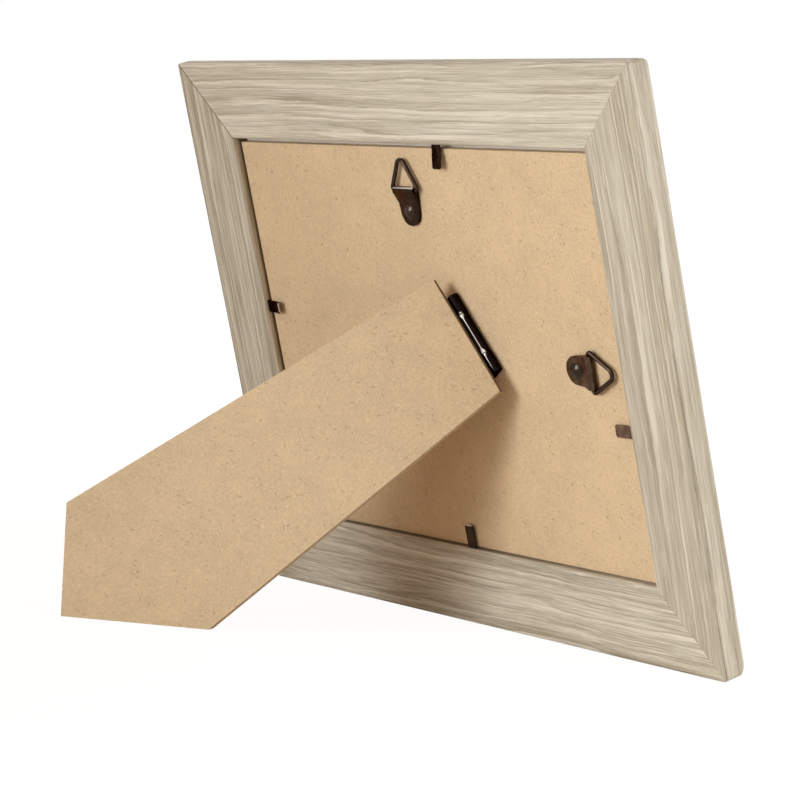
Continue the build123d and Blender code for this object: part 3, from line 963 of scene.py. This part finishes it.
class PHOTOFRAME_OT_hangers(bpy.types.Operator):
    """Model the hanger straps with eased edges, and finish their rings and rivets"""

    bl_idname = "photo_frame.hangers"
    bl_label = "Hangers"

    def execute(self, context):
        metal = look("metal")
        # The top strap's fold carries a painted highlight
        highlights = {"top": fold_highlight, "side": None}
        ring_bronze = bronze_material("ring_bronze", roughness=RING_ROUGHNESS)
        rivet = rivet_material()
        for place in HANGERS:
            strap = eased_copy(f"hanger_strap_{place}", "frame", metal.edge, metal.segments)
            dress(strap, bronze_material(f"strap_bronze_{place}", highlights[place], STRAP_LIGHT_AND_SHADE[place]))
            dress(frame["nodes"][f"hanger_ring_{place}"], ring_bronze)
            dress(frame["nodes"][f"hanger_rivet_{place}"], rivet)
        return {"FINISHED"}


class PHOTOFRAME_OT_tabs(bpy.types.Operator):
    """Model the bend tabs with eased edges"""

    bl_idname = "photo_frame.tabs"
    bl_label = "Bend tabs"

    def execute(self, context):
        metal = look("metal")
        bronze = bronze_material()
        for side in RAILS:
            tab = eased_copy(f"bend_tab_{side}", f"tab_{side}", metal.edge, metal.segments)
            # Painted highlight at the free end of the bottom and left tabs
            tip_highlight_mask = tip_highlight(side) if side in HIGHLIGHTED_TABS else None
            dress(tab, bronze_material(f"tab_bronze_{side}", tip_highlight_mask, TAB_LIGHT_AND_SHADE[side]))
            dress(frame["nodes"][f"tab_root_{side}"], bronze)
        return {"FINISHED"}


def seen_directly(tree):
    """1 where the camera sees a surface directly, in a reflection or through glass."""
    path = add(tree, "ShaderNodeLightPath").outputs
    return largest(tree, path["Is Camera Ray"], path["Is Glossy Ray"], path["Is Transmission Ray"])


def set_room(scene):
    """Lights the room evenly and shows it white."""
    stage = look("stage")
    scene.world = scene.world or bpy.data.worlds.new("room")
    scene.world.use_nodes = True
    tree = scene.world.node_tree
    tree.nodes.clear()
    room = add(tree, "ShaderNodeBackground", {"Color": (*stage.room, 1.0), "Strength": stage.ambient})
    white = add(tree, "ShaderNodeBackground", {"Color": WHITE, "Strength": 1.0})
    seen = seen_directly(tree)
    mixed = add(tree, "ShaderNodeMixShader", {0: seen, 1: room.outputs[0], 2: white.outputs[0]})
    add(tree, "ShaderNodeOutputWorld", {"Surface": mixed.outputs[0]})


def lay_floor(context):
    """Lays a pale floor that shows white and keeps the shadow near the frame."""
    stage = look("stage")
    bpy.ops.object.select_all(action="DESELECT")
    bpy.ops.mesh.primitive_plane_add(size=FLOOR_SIDE, location=(0.0, 0.0, -FLOOR_DROP))
    floor = context.active_object
    floor.name = "floor"
    bpy.ops.object.transform_apply(location=True, rotation=True, scale=True)
    material, tree, shader = start_material("pale_floor")
    tree.nodes.remove(shader)
    place = object_place(tree)
    tint = noise(tree, place, SEEDS["floor"], "floor")
    colour = ramp(tree, tint, tuple(zip(FLOOR_TONES, (stage.floor_dark, stage.floor_pale))))
    shade = add(tree, "ShaderNodeBsdfDiffuse", {"Color": colour})
    glow = add(tree, "ShaderNodeEmission", {"Color": WHITE, "Strength": stage.floor_white})
    away = vectors(tree, "LENGTH", place, output="Value")
    own = times(tree, seen_directly(tree), spread(tree, away, *GLOW_DISTANCES, stage.floor_glow, 1.0))
    mixed = add(tree, "ShaderNodeMixShader", {0: own, 1: shade.outputs[0], 2: glow.outputs[0]})
    tree.links.new(mixed.outputs[0], tree.nodes["Material Output"].inputs["Surface"])
    dress(floor, material)


def set_lights(scene):
    """Sets soft square lights, each facing its point; only the key's beam is narrowed."""
    stage = look("stage")
    for name, (place, target) in LIGHTS.items():
        data = bpy.data.lights.new(name, "AREA")
        data.energy = getattr(stage, name)
        data.size = getattr(stage, f"{name}_size")
        data.color = getattr(stage, f"{name}_colour")
        light = bpy.data.objects.new(name, data)
        scene.collection.objects.link(light)
        light.location = place
        light.rotation_euler = (Vector(target) - Vector(place)).to_track_quat("-Z", "Y").to_euler()
    bpy.data.lights["key"].spread = stage.key_spread


def set_camera(scene):
    """Sets the camera where the photograph was taken from."""
    stage = look("stage")
    camera = bpy.data.objects.new("camera", bpy.data.cameras.new("camera"))
    scene.collection.objects.link(camera)
    camera.data.lens = stage.lens
    camera.data.sensor_width = SENSOR_WIDTH
    camera.location = stage.eye
    camera.rotation_euler = stage.turn
    scene.camera = camera


class PHOTOFRAME_OT_stage(bpy.types.Operator):
    """Set the floor, the room's light, the lamps and the camera"""

    bl_idname = "photo_frame.stage"
    bl_label = "Stage"

    def execute(self, context):
        context.scene.view_settings.view_transform = "Standard"
        set_room(context.scene)
        lay_floor(context)
        set_lights(context.scene)
        set_camera(context.scene)
        return {"FINISHED"}


STEPS = (
    PHOTOFRAME_OT_moulding,
    PHOTOFRAME_OT_stack,
    PHOTOFRAME_OT_leg,
    PHOTOFRAME_OT_hinge,
    PHOTOFRAME_OT_hangers,
    PHOTOFRAME_OT_tabs,
    PHOTOFRAME_OT_stage,
)
LOOKS = {"moulding": MouldingLook, "board": BoardLook, "metal": MetalLook, "stage": StageLook}


class PHOTOFRAME_PT_sidebar(bpy.types.Panel):
    """Lists the pieces and their sizes and colours"""

    bl_idname = "PHOTOFRAME_PT_sidebar"
    bl_label = "Photo Frame"
    bl_space_type = "VIEW_3D"
    bl_region_type = "UI"
    bl_category = "Photo Frame"

    def draw(self, context):
        for step in STEPS:
            self.layout.operator(step.bl_idname)
        for name, group in LOOKS.items():
            box = self.layout.box()
            for key in group.__annotations__:
                box.prop(look(name), key)


CLASSES = (*LOOKS.values(), *STEPS, PHOTOFRAME_PT_sidebar)


def register():
    """Registers the classes and hangs the looks on the scene."""
    for item in CLASSES:
        bpy.utils.register_class(item)
    for name, group in LOOKS.items():
        setattr(bpy.types.Scene, f"photo_frame_{name}", PointerProperty(type=group))


def unregister():
    """Undoes register."""
    for name in LOOKS:
        delattr(bpy.types.Scene, f"photo_frame_{name}")
    for item in reversed(CLASSES):
        bpy.utils.unregister_class(item)


def main():
    """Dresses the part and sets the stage."""
    register()
    bpy.ops.photo_frame.moulding()
    bpy.ops.photo_frame.stack()
    bpy.ops.photo_frame.leg()
    bpy.ops.photo_frame.hinge()
    bpy.ops.photo_frame.hangers()
    bpy.ops.photo_frame.tabs()
    bpy.ops.photo_frame.stage()


if __name__ == "__main__":
    main()
